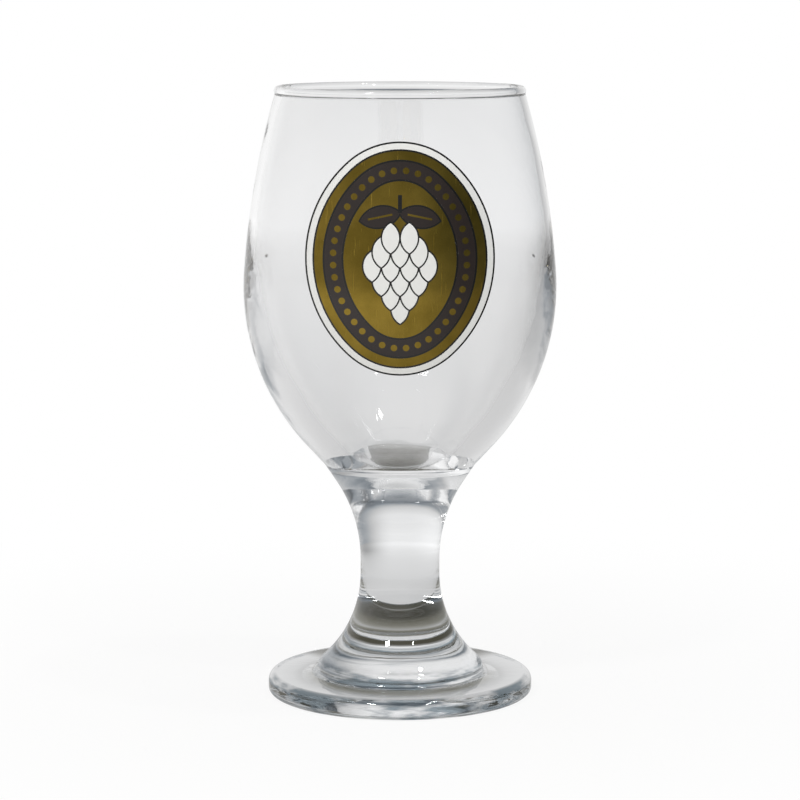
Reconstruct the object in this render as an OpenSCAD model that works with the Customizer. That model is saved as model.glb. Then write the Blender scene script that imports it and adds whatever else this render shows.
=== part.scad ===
// Chalice beer glass: a round bowl on a short solid stem and a flat foot, with an enamelled
// badge on the front of the bowl. Millimetres, +Z up, origin under the middle of the foot,
// badge facing -Y.

/* [Foot] */
// Diameter of the foot
foot_d = 72; // [64:1:84]
// Thickness of the foot at its edge
foot_t = 5.5; // [4.5:0.1:8]
// Rounding of the foot's upper edge
foot_top_edge_r = 2.3; // [0.8:0.1:2.8]
// Rounding of the foot's lower edge
foot_low_edge_r = 1.5; // [0.5:0.1:2]
// Diameter of the shallow hollow under the foot
hollow_d = 54; // [36:1:62]
// Depth of that hollow at its middle
hollow_depth = 1.2; // [0.5:0.1:2.5]

/* [Stem] */
// Height of the stem, from the foot to the seam with the bowl
stem_h = 57.6; // [46:0.2:80]
// Diameter of the stem at its waist
waist_d = 21.5; // [17:0.1:26]
// Height of the waist's lower end above the foot
waist_low_h = 27.5; // [22:0.1:32]
// Length of the straight waist
waist_len = 3.5; // [1:0.1:7]
// Diameter where the stem's flare ends and its rounded step begins
base_d = 43; // [38:0.1:47]
// Height of that step above the foot
base_step_h = 3.6; // [3:0.1:5]
// Rounding of the step's shoulder
base_shoulder_r = 4; // [3:0.1:5.5]
// Fillet between the step and the foot
base_fillet_r = 1.5; // [0.6:0.1:2.4]
// Height of the straight cone below the seam
neck_cone_h = 4.8; // [1:0.1:8]
// Width of the flat ring round the dished middle of the seam
seat_ring_w = 3.5; // [2:0.1:6]
// Depth of that dish, which holds the round bottom of the bowl
seat_depth = 5.2; // [3.6:0.1:6]

/* [Bowl] */
// Height of the bowl, from the seam to the rim
bowl_h = 101.9; // [88:0.1:118]
// Diameter at the seam with the stem
seam_d = 41; // [34:0.1:48]
// Height of the straight cone above the seam
skirt_h = 5.3; // [2:0.1:9]
// Height of the widest place above the seam
belly_h = 48; // [40:0.1:56]
// Outer diameter at the widest place
belly_d = 84.2; // [74:0.1:96]
// Slope of the wall, in degrees, where the belly ends and the long upper arc begins
wall_slope = 4.2; // [2:0.1:7]
// Radius of the long outer arc up to the rim
wall_arc_r = 231; // [160:1:320]
// Thickness of the upper wall
wall_t = 1.7; // [1.2:0.1:2.4]
// Slope of the inner wall, in degrees, where its thin upper part ends
inner_slope = 8; // [6:0.1:10]
// Thickness of the bowl's bottom at the middle
floor_t = 9.5; // [7:0.1:12]
// Diameter of the domed inside floor
floor_d = 24.6; // [20:0.1:28]
// Height of the inside floor's middle above its edge
floor_rise = 1.3; // [0.8:0.1:2.4]
// Rounding between the inside floor and the wall
floor_corner_r = 2; // [1:0.1:4]
// Diameter of the bead round the rim
rim_bead_d = 2.6; // [2.5:0.1:3.6]

/* [Badge] */
// Width of the badge, seen from the front
badge_w = 49; // [42:0.5:56]
// Height of the badge
badge_h = 60; // [54:0.5:68]
// Height of the badge's middle above the seam
badge_mid_h = 59; // [54:0.5:64]
// Rounding of the badge's upper and lower ends
badge_end_r = 20; // [17:0.5:22]
// Thickness of the fired colours
print_t = 0.1; // [0.06:0.02:0.3]
// Width of the dark lines
line_w = 0.45; // [0.3:0.05:0.7]
// Width of the white border
border_w = 1.5; // [0.8:0.1:2.2]
// Width of the gold band inside the border
gold_band_w = 2.2; // [1:0.1:3]
// Width of the brown band
brown_band_w = 4.5; // [3.4:0.1:5]
// Diameter of the gold beads on the brown band
bead_dot_d = 1.7; // [1:0.1:2.2]
// Beads in each quarter of the badge
beads_per_quarter = 10; // [6:1:11]
// Length of one bract of the hop cone
bract_len = 7.6; // [7:0.1:8.4]
// Width of one bract of the hop cone
bract_w = 4.3; // [3.6:0.1:4.4]
// Distance between neighbouring bracts of one row
bract_pitch = 4.8; // [4.7:0.1:5.2]
// Distance between the rows of bracts
row_pitch = 3.6; // [3.3:0.1:4]
// Height of the top row of bracts above the badge's middle
cone_top_h = 5.6; // [4.4:0.1:6.6]
// Width of the dark line round the bracts and leaves
outline_w = 0.4; // [0.25:0.05:0.45]
// Length of a leaf
leaf_len = 10.4; // [8:0.1:11]
// Width of a leaf
leaf_w = 5.2; // [4:0.1:5.6]
// Droop of a leaf, in degrees below the level
leaf_droop = 12; // [2:1:20]
// Height of the leaves' base above the badge's middle
leaf_base_h = 12; // [11.5:0.1:13]
// Length of the middle vein of a leaf
vein_len = 6.4; // [4:0.1:7]
// Width of that vein
vein_w = 0.5; // [0.3:0.05:0.8]
// Length of the stalk above the leaves
stalk_len = 4.5; // [2:0.1:6]
// Width of the stalk
stalk_w = 1; // [0.6:0.1:1.6]

/* [Hidden] */
$fn = 256;

glass_colour = [0.88, 0.93, 0.92, 0.45];
white_enamel = [0.95, 0.94, 0.91];
gold_lustre = [0.54, 0.42, 0.12];
brown_enamel = [0.24, 0.19, 0.17];
black_enamel = [0.09, 0.08, 0.07];

// Heights of the stack
seam_z = foot_t + stem_h;
rim_z = seam_z + bowl_h;
belly_z = seam_z + belly_h;
floor_z = seam_z - seat_depth + floor_t;

// Foot: the hollow is a cap of a large sphere
foot_r = foot_d / 2;
hollow_r = hollow_d / 2;
hollow_sphere_r = dish_radius(hollow_r, hollow_depth);

// Bowl, outer arcs: the belly arc runs on as a cone to the seam
seam_r = seam_d / 2;
belly_r = belly_d / 2;
skirt_z = seam_z + skirt_h;
belly_arc_h = belly_h - skirt_h;
skirt_slope = slope(belly_r - seam_r, belly_arc_h, skirt_h);
skirt_r = seam_r + skirt_h * tan(skirt_slope);
belly_arc_r = belly_arc_h / sin(skirt_slope);
belly_centre = [belly_r - belly_arc_r, belly_z];
wall_centre = belly_centre + (belly_arc_r - wall_arc_r) * ray(wall_slope);
wall_start_z = belly_z + belly_arc_r * sin(wall_slope);

// Bowl, inner arcs: the long lower one touches the upper one and the rounding of the floor
inner_wall_r = wall_arc_r - wall_t;
inner_start = wall_centre + inner_wall_r * ray(inner_slope);
floor_r = floor_d / 2;
floor_arc_r = dish_radius(floor_r, floor_rise);
floor_centre = [0, floor_z - floor_arc_r];
floor_slope = asin(floor_r / floor_arc_r);
floor_edge_z = floor_z - floor_rise;
corner = floor_centre + (floor_arc_r + floor_corner_r) * ray(90 - floor_slope);
corner_way = corner - inner_start;
inner_arc_r = (floor_corner_r * floor_corner_r - corner_way * corner_way)
    / (2 * (corner_way * ray(inner_slope) + floor_corner_r));
inner_centre = inner_start - inner_arc_r * ray(inner_slope);
corner_end_z = corner[1] + floor_corner_r * unit(corner - inner_centre)[1];

// Seam: its dish is a cap of a sphere
seat_r = seam_r - seat_ring_w;
seat_sphere_r = dish_radius(seat_r, seat_depth);
seat_z = seam_z - seat_depth;

// Rim
bead_r = rim_bead_d / 2;
bead_z = rim_z - bead_r;
bead_x = wall_centre[0] + reach(wall_arc_r - wall_t / 2, bead_z - wall_centre[1]);

// Stem, lower flare, step and fillet
waist_r = waist_d / 2;
waist_low_z = foot_t + waist_low_h;
waist_high_z = waist_low_z + waist_len;
base_r = base_d / 2;
base_z = foot_t + base_step_h;
flare_in = base_r - waist_r;
flare_down = waist_low_z - base_z;
flare_r = (flare_in * flare_in + flare_down * flare_down) / (2 * flare_in);
flare_slope = 2 * atan(flare_in / flare_down);
shoulder = [base_r, base_z] - base_shoulder_r * ray(flare_slope);
fillet_z = foot_t + base_fillet_r;
fillet_x = shoulder[0] + reach(base_shoulder_r + base_fillet_r, fillet_z - shoulder[1]);
step_end = shoulder + base_shoulder_r * unit([fillet_x, fillet_z] - shoulder);

// Stem, upper neck: an arc from the waist that runs on as a cone to the seam
neck_arc_h = seam_z - waist_high_z - neck_cone_h;
neck_slope = slope(seam_r - waist_r, neck_arc_h, neck_cone_h);
neck_arc_r = neck_arc_h / sin(neck_slope);
neck_top_r = waist_r + neck_arc_r * (1 - cos(neck_slope));

// Badge: a four-centred oval and the insets of its rings
badge_z = seam_z + badge_mid_h;
end_offset = badge_h / 2 - badge_end_r;
side_r = side_radius(badge_w / 2, badge_end_r, end_offset);
side_offset = side_r - badge_w / 2;
side_angle = atan(end_offset / side_offset);
border_in = line_w;
border_out = border_in + border_w;
gold_in = border_out + line_w;
gold_out = gold_in + gold_band_w;
brown_in = gold_out + line_w;
brown_out = brown_in + brown_band_w;
field_in = brown_out + line_w;
bead_inset = (brown_in + brown_out) / 2;
bract_rows = [2, 3, 4, 3, 2, 1];
skin_margin = 1;

function ray(angle) = [cos(angle), sin(angle)];
function unit(v) = v / norm(v);
// Radius of a round dish or dome, from the radius of its rim and its depth
function dish_radius(r, depth) = (r * r + depth * depth) / (2 * depth);
// Run of a circle of radius r at a height h from its centre
function reach(r, h) = sqrt(r * r - h * h);
// Slope from the upright at which an arc of one height, and a cone of another that runs on from it,
// reach sideways by a run in all. The tangent of half the slope is refined by repetition.
function slope(run, arc_h, cone_h, half = 0, steps = 24) =
    steps == 0
        ? 2 * atan(half)
        : slope(run, arc_h, cone_h, run / (arc_h + 2 * cone_h / (1 - half * half)), steps - 1);
// Radius of the side arcs that run smoothly into the end arcs of an oval
function side_radius(half_w, end_r, offset) =
    (half_w * half_w + offset * offset - end_r * end_r) / (2 * (half_w - end_r));
// Point at a length s along the first quarter of the oval at an inset
function oval_point(inset, s) =
    let (side = side_r - inset, end = badge_end_r - inset, run = side * side_angle * PI / 180)
    s < run
        ? side * ray(s / side * 180 / PI) - [side_offset, 0]
        : end * ray(side_angle + (s - run) / end * 180 / PI) + [0, end_offset];
function quarter_length(inset) =
    ((side_r - inset) * side_angle + (badge_end_r - inset) * (90 - side_angle)) * PI / 180;

// A level slice of the half-plane right of the axis, between two heights
module slice(low, high, width = belly_d) {
    if (high > low)
        polygon([[0, low], [width, low], [width, high], [0, high]]);
}

// Foot in section: a disc with rounded edges
module foot_section() {
    top_z = foot_t - foot_top_edge_r;
    slice(0, foot_low_edge_r, foot_r - foot_low_edge_r);
    intersection() {
        slice(0, foot_low_edge_r);
        translate([foot_r - foot_low_edge_r, foot_low_edge_r])
            circle(foot_low_edge_r);
    }
    slice(foot_low_edge_r, top_z, foot_r);
    slice(top_z, foot_t, foot_r - foot_top_edge_r);
    intersection() {
        slice(top_z, foot_t);
        translate([foot_r - foot_top_edge_r, top_z])
            circle(foot_top_edge_r);
    }
}

// The ball whose cap dishes the seam, in section
module seat_circle() {
    translate([0, seat_z + seat_sphere_r])
        circle(seat_sphere_r);
}

// Stem in section, from the rounded step on the foot up to the dished seam
module stem_section() {
    difference() {
        slice(foot_t, step_end[1], fillet_x);
        translate([fillet_x, fillet_z])
            circle(base_fillet_r);
    }
    slice(foot_t, base_z, shoulder[0]);
    intersection() {
        slice(step_end[1], base_z);
        translate(shoulder)
            circle(base_shoulder_r);
    }
    difference() {
        slice(base_z, waist_low_z, waist_r + flare_r);
        translate([waist_r + flare_r, waist_low_z])
            circle(flare_r);
    }
    slice(waist_low_z, waist_high_z, waist_r);
    difference() {
        slice(waist_high_z, waist_high_z + neck_arc_h, waist_r + neck_arc_r);
        translate([waist_r + neck_arc_r, waist_high_z])
            circle(neck_arc_r);
        seat_circle();
    }
    difference() {
        polygon([
            [0, waist_high_z + neck_arc_h],
            [neck_top_r, waist_high_z + neck_arc_h],
            [seam_r, seam_z],
            [0, seam_z],
        ]);
        seat_circle();
    }
}

// Everything inside the bowl's outer face, grown by a skin, between two heights above the skirt
module belly_section(low, high, skin = 0) {
    intersection() {
        slice(low, min(wall_start_z, high));
        translate(belly_centre)
            circle(belly_arc_r + skin);
    }
    intersection() {
        slice(max(wall_start_z, low), high);
        translate(wall_centre)
            circle(wall_arc_r + skin);
    }
}

// The space inside the bowl
module cavity_section() {
    intersection() {
        slice(inner_start[1], rim_z);
        translate(wall_centre)
            circle(inner_wall_r);
    }
    difference() {
        union() {
            intersection() {
                slice(corner_end_z, inner_start[1]);
                translate(inner_centre)
                    circle(inner_arc_r);
            }
            slice(floor_edge_z, corner_end_z, floor_r);
            intersection() {
                slice(seam_z, corner_end_z);
                translate(corner)
                    circle(floor_corner_r);
            }
        }
        translate(floor_centre)
            circle(floor_arc_r);
    }
}

// Bowl in section: bottom, skirt, belly and wall less the cavity, with a bead round the rim
module bowl_section() {
    difference() {
        union() {
            intersection() {
                slice(waist_high_z, seam_z);
                seat_circle();
            }
            polygon([[0, seam_z], [seam_r, seam_z], [skirt_r, skirt_z], [0, skirt_z]]);
            belly_section(skirt_z, bead_z);
        }
        cavity_section();
    }
    translate([bead_x, bead_z])
        circle(bead_r);
}

// The badge's oval, drawn in by an inset
module oval(inset) {
    side = side_r - inset;
    end = badge_end_r - inset;
    end_z = side * sin(side_angle);
    intersection() {
        translate([-side_offset, 0])
            circle(side);
        translate([side_offset, 0])
            circle(side);
        translate([-badge_w, -end_z])
            square([2 * badge_w, 2 * end_z]);
    }
    for (way = [-1, 1])
        translate([0, way * end_offset])
            circle(end);
}

module oval_ring(inset_out, inset_in) {
    difference() {
        oval(inset_out);
        oval(inset_in);
    }
}

// A shape pointed at both ends, upright, grown by a margin
module pointed(length, width, margin = 0) {
    arc_r = (length * length + width * width) / (4 * width);
    intersection_for (way = [-1, 1])
        translate([way * (arc_r - width / 2), 0])
            circle(arc_r + margin);
}

// Gold beads along the middle of the brown band
module bead_dots() {
    step = quarter_length(bead_inset) / beads_per_quarter;
    for (i = [0 : beads_per_quarter - 1], sx = [-1, 1], sz = [-1, 1]) {
        p = oval_point(bead_inset, (i + 0.5) * step);
        translate([sx * p[0], sz * p[1]])
            circle(d = bead_dot_d);
    }
}

// One row of the hop cone's bracts
module bract_row(row, margin = 0) {
    for (i = [0 : bract_rows[row] - 1])
        translate([(i - (bract_rows[row] - 1) / 2) * bract_pitch, cone_top_h - row * row_pitch])
            pointed(bract_len, bract_w, margin);
}

// The hop cone's bracts, each row partly under the two above it
module bracts() {
    for (row = [0 : len(bract_rows) - 1])
        difference() {
            bract_row(row);
            if (row > 0)
                bract_row(row - 1, outline_w);
            if (row > 1)
                bract_row(row - 2, outline_w);
        }
}

// The whole hop cone with its outline
module hop_cone() {
    for (row = [0 : len(bract_rows) - 1])
        bract_row(row, outline_w);
}

// The two leaves above the cone
module leaves(margin = 0) {
    for (way = [-1, 1])
        translate([way * leaf_len / 2 * cos(leaf_droop), leaf_base_h - leaf_len / 2 * sin(leaf_droop)])
            rotate(way * (90 - leaf_droop))
                pointed(leaf_len, leaf_w, margin);
}

// The middle vein of each leaf
module veins() {
    for (way = [-1, 1])
        translate([0, leaf_base_h])
            rotate(-way * leaf_droop)
                translate([way * leaf_len / 2, 0])
                    square([vein_len, vein_w], center = true);
}

module stalk() {
    translate([-stalk_w / 2, leaf_base_h])
        square([stalk_w, stalk_len]);
}

// The hop as a whole: cone, leaves with their outline, and stalk
module hop() {
    hop_cone();
    leaves(outline_w);
    stalk();
}

// What shows of the leaves inside their outline
module leaf_fill() {
    difference() {
        leaves();
        hop_cone();
        stalk();
    }
}

module white_art() {
    oval_ring(border_in, border_out);
    bracts();
}

module brown_art() {
    difference() {
        oval_ring(brown_in, brown_out);
        bead_dots();
    }
    difference() {
        leaf_fill();
        veins();
    }
}

module black_art() {
    oval_ring(0, border_in);
    oval_ring(border_out, gold_in);
    oval_ring(gold_out, brown_in);
    oval_ring(brown_out, field_in);
    difference() {
        hop();
        bracts();
        leaf_fill();
    }
}

module gold_art() {
    oval_ring(gold_in, gold_out);
    bead_dots();
    difference() {
        oval(field_in);
        hop();
    }
    intersection() {
        leaf_fill();
        veins();
    }
}

// Lays flat artwork on the front of the bowl as a thin skin
module on_bowl() {
    low = badge_z - badge_h / 2 - skin_margin;
    high = badge_z + badge_h / 2 + skin_margin;
    intersection() {
        rotate_extrude()
            difference() {
                belly_section(low, high, print_t);
                belly_section(low, high);
            }
        rotate([90, 0, 0])
            linear_extrude(belly_d)
                translate([0, badge_z])
                    children();
    }
}

module foot() {
    color(glass_colour)
        difference() {
            rotate_extrude()
                foot_section();
            translate([0, 0, hollow_depth - hollow_sphere_r])
                sphere(hollow_sphere_r);
        }
}

module stem() {
    color(glass_colour)
        rotate_extrude()
            stem_section();
}

module bowl() {
    color(glass_colour)
        rotate_extrude()
            bowl_section();
}

module badge_white() {
    color(white_enamel)
        on_bowl()
            white_art();
}

module badge_gold() {
    color(gold_lustre)
        on_bowl()
            gold_art();
}

module badge_brown() {
    color(brown_enamel)
        on_bowl()
            brown_art();
}

module badge_black() {
    color(black_enamel)
        on_bowl()
            black_art();
}

foot();
stem();
bowl();
badge_white();
badge_gold();
badge_brown();
badge_black();
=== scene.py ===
"""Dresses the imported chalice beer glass: fused clear glass, a fired badge and a bright studio.

The CAD pieces are loaded as a fixed frame. Foot, stem and bowl are turned again as fine lathe
meshes from the same sizes, so that light bends smoothly through them. The badge's CAD pieces stay
and get fired finishes.
"""

import logging
import math
from dataclasses import dataclass, field
from enum import Enum
from typing import Sequence, Union

import bmesh
import bpy
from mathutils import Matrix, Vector


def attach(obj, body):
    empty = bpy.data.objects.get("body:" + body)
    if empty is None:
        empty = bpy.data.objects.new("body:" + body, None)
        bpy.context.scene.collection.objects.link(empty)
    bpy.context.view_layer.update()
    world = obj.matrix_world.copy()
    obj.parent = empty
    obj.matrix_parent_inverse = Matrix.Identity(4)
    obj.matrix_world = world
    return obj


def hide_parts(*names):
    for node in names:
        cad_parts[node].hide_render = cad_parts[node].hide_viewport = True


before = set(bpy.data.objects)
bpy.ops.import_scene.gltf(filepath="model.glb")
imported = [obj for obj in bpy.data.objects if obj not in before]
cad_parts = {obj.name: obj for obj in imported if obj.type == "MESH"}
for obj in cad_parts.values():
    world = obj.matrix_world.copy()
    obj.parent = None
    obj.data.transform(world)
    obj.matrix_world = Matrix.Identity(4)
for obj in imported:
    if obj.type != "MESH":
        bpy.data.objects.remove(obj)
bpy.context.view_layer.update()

LOG = logging.getLogger("chalice")
MM = 0.001
ROOT = "root"
WHITE = (1.0, 1.0, 1.0, 1.0)
BLACK = (0.0, 0.0, 0.0, 1.0)

# Heights that neighbouring pieces share, in millimetres
FOOT_T = 5.5
STEM_H = 57.6

# Longest steps along arcs in millimetres, then the fewest steps and the widest in degrees
BROAD_STEP = 0.8
WALL_STEP = 1.2
EDGE_STEP = 0.2
BEAD_STEP = 0.15
LEAST_STEPS = 4
WIDEST_STEP = 5.0

# Number of steps along straight stretches
FLAT_STEPS = 8
CONE_STEPS = 6

# Rounds in which a slope settles
SLOPE_ROUNDS = 24

# Distances below which two points are one, and a point lies on the axis
SAME_POINT = 1e-6
ON_AXIS = 1e-9

Point = tuple[float, float]
Colour = tuple[float, float, float]
Number = Union[int, float]


class Signal:
    """A shader socket that takes part in Python expressions, each of which adds a Math node."""

    def __init__(self, graph: "Graph", socket: bpy.types.NodeSocket) -> None:
        """Wraps one output socket of a graph."""
        self.graph = graph
        self.socket = socket

    def _math(self, operation: str, first: "Input", second: "Input") -> "Signal":
        """Adds one Math node and returns its result."""
        return self.graph.out("ShaderNodeMath", {"operation": operation}, {0: first, 1: second})

    def __add__(self, other: "Input") -> "Signal":
        """Sum of two signals."""
        return self._math("ADD", self, other)

    __radd__ = __add__

    def __sub__(self, other: "Input") -> "Signal":
        """Difference of two signals."""
        return self._math("SUBTRACT", self, other)

    def __rsub__(self, other: "Input") -> "Signal":
        """Difference, with a number first."""
        return self._math("SUBTRACT", other, self)

    def __mul__(self, other: "Input") -> "Signal":
        """Product of two signals."""
        return self._math("MULTIPLY", self, other)

    __rmul__ = __mul__

    def __truediv__(self, other: "Input") -> "Signal":
        """Quotient of two signals."""
        return self._math("DIVIDE", self, other)

    def __rtruediv__(self, other: "Input") -> "Signal":
        """Quotient, with a number first."""
        return self._math("DIVIDE", other, self)

    def __pow__(self, other: "Input") -> "Signal":
        """Power of a signal."""
        return self._math("POWER", self, other)

    def most(self, other: "Input") -> "Signal":
        """The larger of two signals."""
        return self._math("MAXIMUM", self, other)

    def ease(self, start: float, end: float, low: float = 0.0, high: float = 1.0) -> "Signal":
        """Eases from one value to another.

        Args:
            start: Where the result is still low.
            end: Where the result has become high.
            low: Result before start.
            high: Result after end.

        Returns:
            The eased signal.
        """
        inputs = {"Value": self, "From Min": start, "From Max": end, "To Min": low, "To Max": high}
        return self.graph.out("ShaderNodeMapRange", {"interpolation_type": "SMOOTHSTEP"}, inputs)


Input = Union[Signal, Number, Sequence[float]]


class Graph:
    """The node tree of one material or world."""

    def __init__(self, tree: bpy.types.NodeTree) -> None:
        """Empties a node tree and takes it over."""
        self.tree = tree
        tree.nodes.clear()

    def node(self, kind: str, settings: dict | None = None, inputs: dict | None = None) -> bpy.types.Node:
        """Adds a node.

        Args:
            kind: Blender's name of the node type.
            settings: Properties of the node, set first. "stops" fills a colour ramp.
            inputs: Values or signals, by the name or index of the input socket.

        Returns:
            The new node.
        """
        node = self.tree.nodes.new(kind)
        for name, value in (settings or {}).items():
            if name == "stops":
                self._fill_ramp(node.color_ramp, value)
            else:
                setattr(node, name, value)
        for name, value in (inputs or {}).items():
            if isinstance(value, Signal):
                self.tree.links.new(value.socket, node.inputs[name])
            else:
                node.inputs[name].default_value = value
        return node

    def out(self, kind: str, settings: dict | None = None, inputs: dict | None = None,
            output: str | int = 0) -> Signal:
        """Adds a node and returns one of its outputs.

        Args:
            kind: Blender's name of the node type.
            settings: Properties of the node, set first.
            inputs: Values or signals of its input sockets.
            output: Name or index of the output.

        Returns:
            That output as a signal.
        """
        return Signal(self, self.node(kind, settings, inputs).outputs[output])

    @staticmethod
    def _fill_ramp(ramp: bpy.types.ColorRamp, stops: Sequence[tuple[float, float]]) -> None:
        """Fills a grey ramp.

        Args:
            ramp: The ramp to fill.
            stops: Pairs of position and value.
        """
        while len(ramp.elements) < len(stops):
            ramp.elements.new(1.0)
        for element, (position, value) in zip(ramp.elements, stops):
            element.position = position
            element.color = (value, value, value, 1.0)

    def mix(self, factor: Input, first: Input, second: Input, blend: str = "MIX") -> Signal:
        """Mixes two colours.

        Args:
            factor: Share of the second colour.
            first: Colour at 0.
            second: Colour at 1.
            blend: Blend type of the Mix node.

        Returns:
            The mixed colour.
        """
        settings = {"data_type": "RGBA", "blend_type": blend}
        return self.out("ShaderNodeMix", settings, {0: factor, 6: first, 7: second}, 2)

    def place(self, stretch: Sequence[float] = (1, 1, 1), turn: Sequence[float] = (0, 0, 0)) -> Signal:
        """Object coordinates in metres, stretched and turned.

        Args:
            stretch: Scale along each axis.
            turn: Rotation about each axis in degrees.

        Returns:
            The coordinates.
        """
        coords = self.out("ShaderNodeTexCoord", output="Object")
        angles = [math.radians(a) for a in turn]
        return self.out("ShaderNodeMapping", {}, {"Vector": coords, "Rotation": angles, "Scale": stretch})

    def noise(self, where: Signal, scale: float, detail: float = 2.0, roughness: float = 0.5) -> Signal:
        """Fractal noise from 0 to 1.

        Args:
            where: Coordinates.
            scale: Waves per metre of the coordinates.
            detail: Octaves.
            roughness: Strength of the finer octaves.

        Returns:
            The noise.
        """
        inputs = {"Vector": where, "Scale": scale, "Detail": detail, "Roughness": roughness}
        return self.out("ShaderNodeTexNoise", {}, inputs)

    def split(self, vector: Signal) -> list[Signal]:
        """Parts of a vector.

        Args:
            vector: The vector to part.

        Returns:
            Its X, Y and Z.
        """
        node = self.node("ShaderNodeSeparateXYZ", {}, {0: vector})
        return [Signal(self, node.outputs[axis]) for axis in "XYZ"]

    def bump(self, height: Signal, relief: float) -> Signal:
        """A normal from a height of 0 to 1 and its relief in metres."""
        return self.out("ShaderNodeBump", {}, {"Height": height, "Distance": relief}, "Normal")


def new_material(name: str) -> tuple[bpy.types.Material, Graph]:
    """Makes an empty node material.

    Args:
        name: Name of the material.

    Returns:
        The material and its graph.
    """
    material = bpy.data.materials.new(name)
    material.use_nodes = True
    return material, Graph(material.node_tree)


def surface(graph: Graph, inputs: dict) -> None:
    """Ends a material in one Principled shader.

    Args:
        graph: The material's graph.
        inputs: Values and signals of the shader's sockets.
    """
    shader = graph.out("ShaderNodeBsdfPrincipled", {}, inputs)
    graph.node("ShaderNodeOutputMaterial", {}, {"Surface": shader})


def rgba(colour: Colour) -> tuple[float, float, float, float]:
    """An opaque colour with its alpha."""
    return (*colour, 1.0)


@dataclass(frozen=True)
class ClearGlass:
    """Polished soda glass with the slight waviness of pressing and blowing, with lengths in metres."""

    name: str
    tint: Colour
    wave_height: float
    wave_scale: float = 70.0
    ripple_scale: float = 260.0
    ripple_share: float = 0.12
    index: float = 1.52

    def colour(self, graph: Graph) -> Input:
        """Tint of the glass."""
        return rgba(self.tint)

    def material(self) -> bpy.types.Material:
        """Makes the glass material.

        Returns:
            The material.
        """
        material, graph = new_material(self.name)
        where = graph.place()
        waves = graph.noise(where, self.wave_scale, detail=1.0)
        ripples = graph.noise(where, self.ripple_scale, detail=1.0)
        surface(graph, {
            "Base Color": self.colour(graph),
            "Roughness": 0.0,
            "IOR": self.index,
            "Transmission Weight": 1.0,
            "Normal": graph.bump(waves + ripples * self.ripple_share, self.wave_height),
        })
        return material


@dataclass(frozen=True)
class PressedGlassWithPaintedReflections(ClearGlass):
    """Clear pressed glass with painted reflections: cool, dark streaks along an outer edge that stand in for
    the dark surroundings seen there.
    """

    painted_reflection_tint: Colour = (0.10, 0.14, 0.17)
    painted_reflection_from: float = 0.0335
    painted_reflection_full: float = 0.0350
    painted_reflection_top: float = 0.0100
    painted_reflection_fade: float = 0.0015
    painted_reflection_scale: float = 60.0
    painted_reflection_stretch: float = 5.0
    painted_reflection_band: Point = (0.40, 0.60)

    def colour(self, graph: Graph) -> Input:
        """Tint of the glass, with painted dark reflections in streaks along the edge.

        Args:
            graph: The material's graph.

        Returns:
            The tint.
        """
        across, back, height = graph.split(graph.place())
        edge = ((across * across + back * back) ** 0.5).ease(self.painted_reflection_from, self.painted_reflection_full)
        low = height.ease(self.painted_reflection_top, self.painted_reflection_top - self.painted_reflection_fade)
        where = graph.place((1, 1, self.painted_reflection_stretch))
        streaks = graph.noise(where, self.painted_reflection_scale, detail=3.0, roughness=0.6).ease(*self.painted_reflection_band)
        # Painted reflection: cool dark streaks low down near the outer edge stand in for dark surroundings
        # seen in the glass
        return graph.mix(edge * low * streaks, rgba(self.tint), rgba(self.painted_reflection_tint))


@dataclass(frozen=True)
class FusedSeam:
    """The inner faces where two pieces of glass are fused, which can't be seen."""

    def material(self) -> bpy.types.Material:
        """Makes the invisible material.

        Returns:
            The material.
        """
        material, graph = new_material("fused_seam")
        surface(graph, {"Base Color": WHITE, "Alpha": 0.0})
        return material


@dataclass(frozen=True)
class GoldLustre:
    """Bright fired gold with cloudy depth and fine hairline marks."""

    deep: Colour = (0.18, 0.123, 0.018)
    bright: Colour = (0.36, 0.245, 0.045)
    cloud_scale: float = 55.0
    cloud_band: Point = (0.30, 0.72)
    cloud_share: float = 0.75
    grain_scale: float = 2400.0
    grain_relief: float = 0.4
    hair_scale: float = 130.0
    hair_stretch: float = 14.0
    hair_turns: tuple[float, ...] = (24.0, -38.0, 71.0)
    hair_band: Point = (0.66, 0.74)
    hair_tone: float = 0.9
    hair_depth: float = 0.000008
    roughness: float = 0.17
    cloud_roughness: float = 0.10
    hair_roughness: float = 0.15

    def hairlines(self, graph: Graph) -> Signal:
        """Thin scratches in a few directions across the front.

        Args:
            graph: The material's graph.

        Returns:
            1 on a scratch and 0 elsewhere.
        """
        marks: Signal | None = None
        for turn in self.hair_turns:
            where = graph.place((self.hair_stretch, 1, 1), (0, turn, 0))
            hair = graph.noise(where, self.hair_scale).ease(*self.hair_band)
            marks = hair if marks is None else marks.most(hair)
        return marks

    def material(self) -> bpy.types.Material:
        """Makes the gold material.

        Returns:
            The material.
        """
        material, graph = new_material("gold_lustre")
        clouds = graph.noise(graph.place(), self.cloud_scale, detail=4.0, roughness=0.6)
        grain = graph.noise(graph.place(), self.grain_scale, detail=1.0)
        hairs = self.hairlines(graph)
        tone = clouds.ease(*self.cloud_band) * self.cloud_share + grain * (1.0 - self.cloud_share)
        tone = tone.most(hairs * self.hair_tone)
        surface(graph, {
            "Base Color": graph.mix(tone, rgba(self.deep), rgba(self.bright)),
            "Metallic": 1.0,
            "Roughness": self.roughness + clouds * self.cloud_roughness + hairs * self.hair_roughness,
            "Normal": graph.bump(hairs + grain * self.grain_relief, self.hair_depth),
        })
        return material


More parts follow.
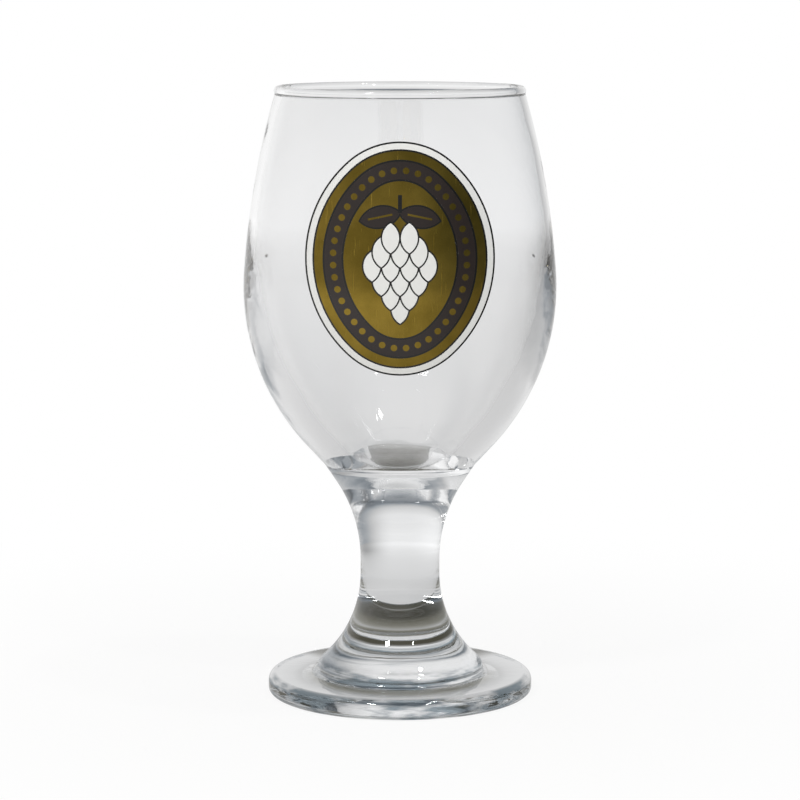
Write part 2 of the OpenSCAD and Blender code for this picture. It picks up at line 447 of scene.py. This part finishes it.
@dataclass(frozen=True)
class FiredEnamel:
    """Opaque glass colour, fired on: glossy, faintly mottled and grainy."""

    name: str
    colour: Colour
    mottle: float = 0.12
    roughness: float = 0.22
    cloud_scale: float = 320.0
    cloud_share: float = 0.7
    grain_scale: float = 3200.0
    grain_roughness: float = 0.12
    coat: float = 0.1
    coat_roughness: float = 0.08
    relief: float = 0.000012

    def material(self) -> bpy.types.Material:
        """Makes the enamel material.

        Returns:
            The material.
        """
        material, graph = new_material(self.name)
        clouds = graph.noise(graph.place(), self.cloud_scale, detail=4.0, roughness=0.6)
        grain = graph.noise(graph.place(), self.grain_scale)
        cover = clouds * self.cloud_share + grain * (1.0 - self.cloud_share)
        shade = tuple(c * (1.0 - self.mottle) for c in self.colour)
        light = tuple(min(1.0, c * (1.0 + self.mottle)) for c in self.colour)
        surface(graph, {
            "Base Color": graph.mix(cover, rgba(shade), rgba(light)),
            "Roughness": self.roughness + grain * self.grain_roughness,
            "Coat Weight": self.coat,
            "Coat Roughness": self.coat_roughness,
            "Normal": graph.bump((clouds + grain) * 0.5, self.relief),
        })
        return material


class Face(Enum):
    """What a stretch of a turned profile is on the finished glass."""

    GLASS = 0
    SEAM = 1


def ray(angle: float, length: float = 1.0) -> Vector:
    """A vector of a length at an angle in degrees from the level."""
    return Vector((math.cos(math.radians(angle)), math.sin(math.radians(angle)))) * length


def line(start: Sequence[float], end: Sequence[float], steps: int) -> list[Point]:
    """Evenly spaced points along a straight stretch.

    Args:
        start: Where the stretch begins; this point is left out.
        end: Where it ends.
        steps: Number of points.

    Returns:
        The points.
    """
    return [tuple(a + (b - a) * i / steps for a, b in zip(start, end)) for i in range(1, steps + 1)]


def arc(centre: Sequence[float], radius: float, start: float, end: float,
        step: float = BROAD_STEP) -> list[Point]:
    """Points along an arc in the section plane.

    Args:
        centre: Centre as radius and height.
        radius: Radius of the arc.
        start: Angle of the first point in degrees.
        end: Angle of the last point in degrees.
        step: Longest step between points.

    Returns:
        The points, both ends among them.
    """
    turn = abs(end - start)
    steps = max(LEAST_STEPS, math.ceil(turn / WIDEST_STEP), math.ceil(math.radians(turn) * radius / step))
    middle = Vector(centre)
    return [tuple(middle + ray(start + (end - start) * i / steps, radius)) for i in range(steps + 1)]


def angle_of(way: Vector) -> float:
    """The angle of a vector in degrees from the level."""
    return math.degrees(math.atan2(way[1], way[0]))


def reach(radius: float, height: float) -> float:
    """How far a circle runs sideways at a height from its centre."""
    return math.sqrt(radius * radius - height * height)


def dish_radius(radius: float, depth: float) -> float:
    """Radius of the sphere of a dish or dome, from the radius of its rim and its depth."""
    return (radius ** 2 + depth ** 2) / (2 * depth)


def dish(radius: float, rim_z: float, depth: float) -> list[Point]:
    """Points down a round dish.

    Args:
        radius: Radius of the dish at its rim.
        rim_z: Height of the rim.
        depth: Depth at the middle.

    Returns:
        The points, from the rim to the middle.
    """
    sphere_r = dish_radius(radius, depth)
    spread = math.degrees(math.asin(radius / sphere_r))
    return arc((0.0, rim_z - depth + sphere_r), sphere_r, spread - 90, -90)


def slope(run: float, arc_h: float, cone_h: float) -> float:
    """Slope at which an arc, and a cone that runs on from it, reach sideways by a run.

    Args:
        run: Sideways run in all.
        arc_h: Height of the arc.
        cone_h: Height of the cone.

    Returns:
        The slope of the cone in degrees from the upright.
    """
    half = 0.0
    for _ in range(SLOPE_ROUNDS):
        half = run / (arc_h + 2 * cone_h / (1 - half * half))
    return 2 * math.degrees(math.atan(half))


@dataclass(frozen=True)
class Seat:
    """The dished seam on which the bowl sits on the stem."""

    height: float = FOOT_T + STEM_H
    diameter: float = 41.0
    ring_w: float = 3.5
    depth: float = 5.2

    def section(self) -> list[Point]:
        """Points from the edge of the dish down to its middle."""
        return dish(self.diameter / 2 - self.ring_w, self.height, self.depth)


@dataclass
class Turned:
    """A piece of glass turned about the upright axis, with sizes in millimetres and degrees."""

    node: str
    glass: ClearGlass
    segments: int = 192
    sharp_angle: float = 25.0
    profile: list[Point] = field(default_factory=list)
    faces: list[Face] = field(default_factory=list)

    def outline(self) -> None:
        """Draws the section, which each piece does for itself."""
        raise NotImplementedError

    def run(self, points: Sequence[Point], face: Face = Face.GLASS) -> None:
        """Carries the profile on.

        Args:
            points: Radius and height of each further point.
            face: What the stretch up to these points is.
        """
        for point in points:
            if self.profile and math.dist(point, self.profile[-1]) < SAME_POINT:
                continue
            if self.profile:
                self.faces.append(face)
            self.profile.append(tuple(point))

    def build(self) -> bpy.types.Object:
        """Turns the section into a closed mesh that stands for its CAD node.

        Returns:
            The finished object, not yet dressed.
        """
        self.outline()
        mesh = bmesh.new()
        rings = [self._ring(mesh, r * MM, z * MM) for r, z in self.profile]
        for low, high, face in zip(rings, rings[1:], self.faces):
            self._band(mesh, low, high, face)
        bmesh.ops.recalc_face_normals(mesh, faces=mesh.faces)
        data = bpy.data.meshes.new(f"{self.node}_glass")
        mesh.to_mesh(data)
        mesh.free()
        data.shade_smooth()
        data.set_sharp_from_angle(angle=math.radians(self.sharp_angle))
        piece = bpy.data.objects.new(f"{self.node}_glass", data)
        bpy.context.scene.collection.objects.link(piece)
        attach(piece, ROOT)
        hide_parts(self.node)
        return piece

    def dress(self, piece: bpy.types.Object, seam: bpy.types.Material) -> None:
        """Gives the piece its glass and the seams' material, in the order of Face."""
        for material in (self.glass.material(), seam):
            piece.data.materials.append(material)

    def _ring(self, mesh: bmesh.types.BMesh, radius: float, height: float) -> list[bmesh.types.BMVert]:
        """Adds one ring of points.

        Args:
            mesh: The mesh to add to.
            radius: Radius of the ring in metres.
            height: Height of the ring in metres.

        Returns:
            The ring's points, or a single one on the axis.
        """
        if radius < ON_AXIS:
            return [mesh.verts.new((0.0, 0.0, height))]
        turn = math.tau / self.segments
        return [mesh.verts.new((radius * math.cos(i * turn), radius * math.sin(i * turn), height))
                for i in range(self.segments)]

    def _band(self, mesh: bmesh.types.BMesh, low: list, high: list, face: Face) -> None:
        """Adds the faces between two rings.

        Args:
            mesh: The mesh to add to.
            low: Points of the first ring.
            high: Points of the next ring.
            face: What these faces are.
        """
        for i in range(self.segments):
            j = (i + 1) % self.segments
            if len(low) == 1:
                corners = (low[0], high[i], high[j])
            elif len(high) == 1:
                corners = (low[i], high[0], low[j])
            else:
                corners = (low[i], low[j], high[j], high[i])
            mesh.faces.new(corners).material_index = face.value


@dataclass
class Foot(Turned):
    """The flat disc, with rounded edges and a shallow hollow underneath."""

    node: str = "foot"
    # The foot's glass carries painted dark reflections along its outer edge
    glass: ClearGlass = PressedGlassWithPaintedReflections("foot_glass_painted_reflections", (0.965, 0.978, 0.988), 0.00030, 60.0, 200.0, 0.20)
    diameter: float = 72.0
    thickness: float = FOOT_T
    top_edge_r: float = 2.3
    low_edge_r: float = 1.5
    hollow_d: float = 54.0
    hollow_depth: float = 1.2
    stem_d: float = 48.55

    def outline(self) -> None:
        """Draws the section, from the middle of the underside round to the seam with the stem."""
        radius, hollow_r = self.diameter / 2, self.hollow_d / 2
        sphere_r = dish_radius(hollow_r, self.hollow_depth)
        spread = math.degrees(math.asin(hollow_r / sphere_r))
        self.run(arc((0.0, self.hollow_depth - sphere_r), sphere_r, 90, 90 - spread))
        self.run(arc((radius - self.low_edge_r, self.low_edge_r), self.low_edge_r, -90, 0, EDGE_STEP))
        top_r = radius - self.top_edge_r
        self.run(arc((top_r, self.thickness - self.top_edge_r), self.top_edge_r, 0, 90, EDGE_STEP))
        seam = (self.stem_d / 2, self.thickness)
        self.run(line((top_r, self.thickness), seam, FLAT_STEPS))
        self.run(line(seam, (0.0, self.thickness), FLAT_STEPS), Face.SEAM)


@dataclass
class Stem(Turned):
    """The solid waisted stem, from its rounded step on the foot to the seam under the bowl."""

    node: str = "stem"
    # The stem's glass carries painted dark reflections along the edge of its base
    glass: ClearGlass = PressedGlassWithPaintedReflections(
        "pressed_glass", (0.975, 0.982, 0.988), 0.00016, painted_reflection_from=0.0205, painted_reflection_full=0.0215)
    foot_t: float = FOOT_T
    waist_d: float = 21.5
    waist_low_h: float = 27.5
    waist_len: float = 3.5
    base_d: float = 43.0
    base_step_h: float = 3.6
    shoulder_r: float = 4.0
    fillet_r: float = 1.5
    neck_cone_h: float = 4.8
    seat: Seat = Seat()

    def outline(self) -> None:
        """Draws the section, from the middle of the base up the side and down the dished seam."""
        waist_r, base_r = self.waist_d / 2, self.base_d / 2
        low_z, base_z = self.foot_t + self.waist_low_h, self.foot_t + self.base_step_h
        run_in, down = base_r - waist_r, low_z - base_z
        flare_r = (run_in ** 2 + down ** 2) / (2 * run_in)
        flare = 2 * math.degrees(math.atan(run_in / down))
        shoulder = Vector((base_r, base_z)) - ray(flare, self.shoulder_r)
        fillet_z = self.foot_t + self.fillet_r
        beside = reach(self.shoulder_r + self.fillet_r, fillet_z - shoulder[1])
        fillet = Vector((shoulder[0] + beside, fillet_z))
        meet = angle_of(fillet - shoulder)
        middle = (0.0, self.foot_t)
        self.run([middle] + line(middle, (fillet[0], self.foot_t), FLAT_STEPS), Face.SEAM)
        self.run(arc(fillet, self.fillet_r, 270, 180 + meet, EDGE_STEP))
        self.run(arc(shoulder, self.shoulder_r, meet, flare, EDGE_STEP))
        self.run(arc((waist_r + flare_r, low_z), flare_r, 180 + flare, 180))
        self._neck(waist_r, low_z)

    def _neck(self, waist_r: float, low_z: float) -> None:
        """Carries the section up from the waist to the bowl, and down the dished seam.

        Args:
            waist_r: Radius of the waist.
            low_z: Height at which the waist's straight stretch begins.
        """
        high_z, seam_r = low_z + self.waist_len, self.seat.diameter / 2
        neck_h = self.seat.height - high_z - self.neck_cone_h
        neck = slope(seam_r - waist_r, neck_h, self.neck_cone_h)
        neck_r = neck_h / math.sin(math.radians(neck))
        self.run([(waist_r, low_z + self.waist_len / 2)])
        self.run(arc((waist_r + neck_r, high_z), neck_r, 180, 180 - neck))
        self.run(line(self.profile[-1], (seam_r, self.seat.height), CONE_STEPS))
        self.run(self.seat.section(), Face.SEAM)


@dataclass
class Bowl(Turned):
    """The hollow bowl: thick below, thin above, with a beaded rim."""

    node: str = "bowl"
    glass: ClearGlass = ClearGlass("blown_glass", (0.989, 0.990, 0.992), 0.00010)
    seat: Seat = Seat()
    height: float = 101.9
    skirt_h: float = 5.3
    belly_h: float = 48.0
    belly_d: float = 84.2
    wall_slope: float = 4.2
    wall_arc_r: float = 231.0
    wall_t: float = 1.7
    inner_slope: float = 8.0
    floor_t: float = 9.5
    floor_d: float = 24.6
    floor_rise: float = 1.3
    floor_corner_r: float = 2.0
    bead_d: float = 2.6
    grow: float = 0.02
    bead_blend: float = 1.0

    def outline(self) -> None:
        """Draws the section: seam, outside up to the rim, inside down to the floor."""
        seam_r, belly_r, seam_z = self.seat.diameter / 2, self.belly_d / 2, self.seat.height
        arc_h = self.belly_h - self.skirt_h
        skirt = slope(belly_r - seam_r, arc_h, self.skirt_h)
        belly_arc_r = arc_h / math.sin(math.radians(skirt))
        belly = Vector((belly_r - belly_arc_r, seam_z + self.belly_h))
        wall = belly + ray(self.wall_slope, belly_arc_r - self.wall_arc_r)
        self.run(self.seat.section()[::-1], Face.SEAM)
        self.run([(seam_r, seam_z)], Face.SEAM)
        outside = arc(belly, belly_arc_r + self.grow, -skirt, self.wall_slope)
        skirt_top = (outside[0][0], seam_z + self.skirt_h)
        self.run(line((seam_r + self.grow, seam_z), skirt_top, CONE_STEPS)[:-1])
        self.run(outside)
        self._rim(wall)
        self._inside(wall)

    def _rim(self, wall: Vector) -> None:
        """Carries the outer wall up, blends it into the bead, and blends that into the inner wall.

        Args:
            wall: Centre of the wall's arcs.
        """
        bead_r = self.bead_d / 2
        bead_z = self.seat.height + self.height - bead_r
        bead = Vector((wall[0] + reach(self.wall_arc_r - self.wall_t / 2, bead_z - wall[1]), bead_z))
        outer_r, inner_r = self.wall_arc_r + self.grow, self.wall_arc_r - self.wall_t
        outer = self._blend_centre(wall, outer_r + self.bead_blend, bead, bead_r + self.bead_blend)
        inner = self._blend_centre(wall, inner_r - self.bead_blend, bead, bead_r + self.bead_blend)
        outer_end = angle_of(outer - wall)
        self.run(arc(wall, outer_r, self.wall_slope, outer_end, WALL_STEP))
        outer_bead = angle_of(outer - bead)
        self.run(arc(outer, self.bead_blend, 180 + outer_end, 180 + outer_bead, BEAD_STEP))
        inner_bead = angle_of(inner - bead)
        self.run(arc(bead, bead_r, outer_bead, 360 + inner_bead, BEAD_STEP))
        inner_start = angle_of(inner - wall)
        self.run(arc(inner, self.bead_blend, 180 + inner_bead, inner_start, BEAD_STEP))
        self.run(arc(wall, inner_r, inner_start, self.inner_slope, WALL_STEP))

    @staticmethod
    def _blend_centre(wall: Vector, wall_reach: float, bead: Vector, bead_reach: float) -> Vector:
        """Centre of a blend below the bead.

        Args:
            wall: Centre of the wall's arcs.
            wall_reach: Distance from that centre.
            bead: Centre of the bead.
            bead_reach: Distance from that centre.

        Returns:
            The centre.
        """
        way = bead - wall
        along = (wall_reach ** 2 - bead_reach ** 2 + way.length_squared) / (2 * way.length)
        aside = reach(wall_reach, along)
        unit = way.normalized()
        return wall + unit * along + Vector((unit[1], -unit[0])) * aside

    def _inside(self, wall: Vector) -> None:
        """Carries the inner wall down round the belly and the corner to the middle of the domed floor.

        Args:
            wall: Centre of the wall's arcs.
        """
        start = wall + ray(self.inner_slope, self.wall_arc_r - self.wall_t)
        edge_r, floor_z = self.floor_d / 2, self.seat.height - self.seat.depth + self.floor_t
        floor_arc_r = dish_radius(edge_r, self.floor_rise)
        edge = math.degrees(math.acos(edge_r / floor_arc_r))
        middle = Vector((0.0, floor_z - floor_arc_r))
        corner = middle + ray(edge, floor_arc_r + self.floor_corner_r)
        way, toward, corner_r = corner - start, ray(self.inner_slope), self.floor_corner_r
        radius = (corner_r ** 2 - way.length_squared) / (2 * (way.dot(toward) + corner_r))
        centre = start - toward * radius
        meet = angle_of(corner - centre)
        self.run(arc(centre, radius, self.inner_slope, meet))
        self.run(arc(corner, corner_r, meet, edge - 180, EDGE_STEP))
        self.run(arc(middle, floor_arc_r, edge, 90))


@dataclass
class Badge:
    """The fired badge on the front of the bowl, whose CAD pieces stay."""

    finishes: tuple[tuple[str, GoldLustre | FiredEnamel], ...] = (
        ("badge_gold", GoldLustre()),
        ("badge_white", FiredEnamel("white_enamel", (0.88, 0.87, 0.84), 0.05, 0.26)),
        ("badge_brown", FiredEnamel("brown_enamel", (0.020, 0.012, 0.009), 0.22, 0.24)),
        ("badge_black", FiredEnamel("black_enamel", (0.003, 0.0025, 0.002), 0.20, 0.20)),
    )

    def dress(self) -> None:
        """Gives each of the badge's CAD nodes its fired finish."""
        for node, finish in self.finishes:
            material = finish.material()
            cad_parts[node].data.materials[0] = material
            LOG.info("%s: dressed in %s", node, material.name)


@dataclass(frozen=True)
class Sides:
    """How the room's light falls off to the right and gains to the left."""

    right_dim: float = 0.62
    left_gain: float = 0.15
    begin: float = 0.1
    full: float = 0.8

    def level(self, right: Signal) -> Signal:
        """Light from a direction, by how far it points to the right."""
        dimmed = right.ease(self.begin, self.full, 1.0, 1.0 - self.right_dim)
        return dimmed * right.ease(-self.begin, -self.full, 1.0, 1.0 + self.left_gain)


@dataclass
class Floor:
    """A pale floor that shows as white, and through the glass with painted shade near and under the foot.

    Radii are in metres from the glass's axis, and each band says where an effect begins and is full.
    """

    size: float = 40.0
    colour: Colour = (0.80, 0.79, 0.76)
    roughness: float = 0.8
    shown_near: float = 0.90
    shown_band: Point = (0.03, 0.25)
    # Painted shade: the floor's glow, as glass and metal show it, is darker near and under the foot
    tones: tuple[Point, ...] = (
        (0.0, 0.05), (0.014, 0.06), (0.022, 0.20), (0.030, 0.62), (0.036, 0.70), (0.045, 0.62),
        (0.062, 0.62), (0.10, 0.64), (0.18, 0.70), (0.40, 0.80), (1.0, 0.93), (2.0, 0.93), (4.0, 0.88))
    tone_reach: float = 4.0
    warm_shade: Colour = (1.0, 0.96, 0.76)
    warm_band: Point = (0.05, 0.50)
    sides: Sides = Sides()
    side_band: Point = (0.05, 0.40)
    shadow_colour: Colour = (0.07, 0.066, 0.048)
    shadow_inner: Point = (0.025, 0.030)
    shadow_outer: Point = (0.039, 0.036)
    shadow_behind: Point = (0.60, 0.80)

    def build(self) -> None:
        """Lays the floor."""
        half = self.size / 2
        corners = [(-half, -half, 0), (half, -half, 0), (half, half, 0), (-half, half, 0)]
        data = bpy.data.meshes.new("floor")
        data.from_pydata(corners, [], [(0, 1, 2, 3)])
        floor = bpy.data.objects.new("floor", data)
        bpy.context.scene.collection.objects.link(floor)
        data.materials.append(self.material())

    def material(self) -> bpy.types.Material:
        """Makes a floor that is matte under the lamps, and has its own shade in camera, glass and metal.

        Returns:
            The material.
        """
        material, graph = new_material("floor")
        place = graph.out("ShaderNodeTexCoord", output="Object")
        from_axis = graph.out("ShaderNodeVectorMath", {"operation": "LENGTH"}, {0: place}, "Value")
        path = graph.node("ShaderNodeLightPath")
        seen, through, mirrored = (
            Signal(graph, path.outputs[f"Is {kind} Ray"]) for kind in ("Camera", "Transmission", "Glossy"))
        matte = graph.out("ShaderNodeBsdfPrincipled", {}, {
            "Base Color": rgba(self.colour), "Roughness": self.roughness, "Specular IOR Level": 0.0})
        glow = graph.out("ShaderNodeBsdfPrincipled", {}, {
            "Base Color": BLACK, "Specular IOR Level": 0.0, "Emission Strength": 1.0,
            "Emission Color": graph.mix(seen, self.shade(graph, place, from_axis), WHITE)})
        shown = seen * from_axis.ease(*self.shown_band, self.shown_near, 1.0)
        share = shown.most(through).most(mirrored)
        graph.node("ShaderNodeOutputMaterial", {}, {
            "Surface": graph.out("ShaderNodeMixShader", {}, {0: share, 1: matte, 2: glow})})
        return material

    def shade(self, graph: Graph, place: Signal, from_axis: Signal) -> Signal:
        """Shade of the floor as the glass shows it: dark and warm under the foot, with a shadow behind.

        Args:
            graph: The material's graph.
            place: Place on the floor.
            from_axis: Its distance from the glass's axis.

        Returns:
            The shade.
        """
        stops = [(math.sqrt(radius / self.tone_reach), tone) for radius, tone in self.tones]
        tone = graph.out("ShaderNodeValToRGB", {"stops": stops}, {0: (from_axis / self.tone_reach) ** 0.5})
        warmth = graph.mix(tone.ease(*self.warm_band), rgba(self.warm_shade), WHITE)
        right, back = (part / from_axis for part in graph.split(place)[:2])
        aside = 1.0 + (self.sides.level(right) - 1.0) * from_axis.ease(*self.side_band)
        lit = graph.mix(1.0, graph.mix(1.0, tone, warmth, "MULTIPLY"), aside, "MULTIPLY")
        # Painted shadow: a dark ring on the floor behind the foot
        ring = from_axis.ease(*self.shadow_inner) * from_axis.ease(*self.shadow_outer)
        return graph.mix(ring * back.ease(*self.shadow_behind), lit, rgba(self.shadow_colour))


@dataclass
class Room:
    """A room that is bright behind and overhead with a dim band between, and dimmer in front and at right."""

    tones: tuple[Point, ...] = (
        (0.0, 0.88), (0.28, 0.80), (0.40, 0.60), (0.50, 0.22), (0.62, 0.18), (0.72, 0.40), (0.86, 0.84),
        (1.0, 0.92))
    front_dim: float = 0.44
    front_band: Point = (0.3, -0.6)
    sides: Sides = Sides()
    cool_shade: Colour = (0.76, 0.90, 1.04)
    cool_band: Point = (0.05, 0.60)

    def build(self) -> None:
        """Lights the room, which the camera itself sees as white."""
        world = bpy.data.worlds.new("room")
        world.use_nodes = True
        bpy.context.scene.world = world
        graph = Graph(world.node_tree)
        right, back, up = graph.split(graph.out("ShaderNodeTexCoord", output="Generated"))
        height = graph.out("ShaderNodeValToRGB", {"stops": self.tones}, {0: up})
        ahead = back.ease(*self.front_band, 1.0, 1.0 - self.front_dim)
        level = height * ahead * self.sides.level(right)
        tint = graph.mix(level.ease(*self.cool_band), rgba(self.cool_shade), WHITE)
        seen = graph.out("ShaderNodeLightPath", output="Is Camera Ray")
        shown = graph.mix(seen, graph.mix(1.0, level, tint, "MULTIPLY"), WHITE)
        graph.node("ShaderNodeOutputWorld", {}, {
            "Surface": graph.out("ShaderNodeBackground", {}, {"Color": shown, "Strength": 1.0})})


@dataclass(frozen=True)
class Lamp:
    """A square soft lamp that looks at the bowl, with lengths in metres and power in watts."""

    name: str
    place: tuple[float, float, float]
    size: float
    power: float
    target: tuple[float, float, float] = (0.0, 0.0, 0.10)

    def build(self) -> None:
        """Hangs the lamp."""
        data = bpy.data.lights.new(self.name, "AREA")
        data.size = self.size
        data.energy = self.power
        lamp = bpy.data.objects.new(self.name, data)
        lamp.location = self.place
        way = Vector(self.target) - Vector(self.place)
        lamp.rotation_euler = way.to_track_quat("-Z", "Y").to_euler()
        bpy.context.scene.collection.objects.link(lamp)


@dataclass
class Studio:
    """The floor, the room, three lamps and a camera at the photograph's viewpoint."""

    camera_distance: float = 0.8067
    camera_height: float = 0.19448
    camera_pitch: float = 0.1407
    focal_px: float = 3007.9
    image_px: float = 800.0
    sensor: float = 36.0
    bounces: int = 32
    floor: Floor = field(default_factory=Floor)
    room: Room = field(default_factory=Room)
    lamps: tuple[Lamp, ...] = (
        Lamp("key", (-0.44, -0.71, 0.95), 0.14, 4.8),
        Lamp("fill", (0.44, -0.71, 0.95), 0.07, 2.4),
        Lamp("top", (0.42, -0.20, 1.25), 0.09, 2.6),
    )

    def build(self) -> None:
        """Sets up camera, floor, room and lamps."""
        self._camera()
        self._paths()
        for item in (self.floor, self.room, *self.lamps):
            item.build()
        bpy.context.scene.view_settings.view_transform = "Standard"

    def _camera(self) -> None:
        """Sets up the camera."""
        data = bpy.data.cameras.new("camera")
        data.sensor_width = self.sensor
        data.lens = self.focal_px / self.image_px * self.sensor
        camera = bpy.data.objects.new("camera", data)
        camera.location = (0.0, -self.camera_distance, self.camera_height)
        camera.rotation_euler = (math.pi / 2 - self.camera_pitch, 0.0, 0.0)
        bpy.context.scene.collection.objects.link(camera)
        bpy.context.scene.camera = camera

    def _paths(self) -> None:
        """Lets light run on inside the thick glass, where it's mirrored many times."""
        for kind in ("max", "glossy", "transmission", "transparent_max"):
            setattr(bpy.context.scene.cycles, f"{kind}_bounces", self.bounces)


def main() -> None:
    """Builds and dresses every piece in order."""
    logging.basicConfig(level=logging.INFO, format="%(name)s: %(message)s")
    seam = FusedSeam().material()
    for part in (Foot(), Stem(), Bowl()):
        piece = part.build()
        part.dress(piece, seam)
        LOG.info("%s: %d faces", piece.name, len(piece.data.polygons))
    Badge().dress()
    Studio().build()


if __name__ == "__main__":
    main()
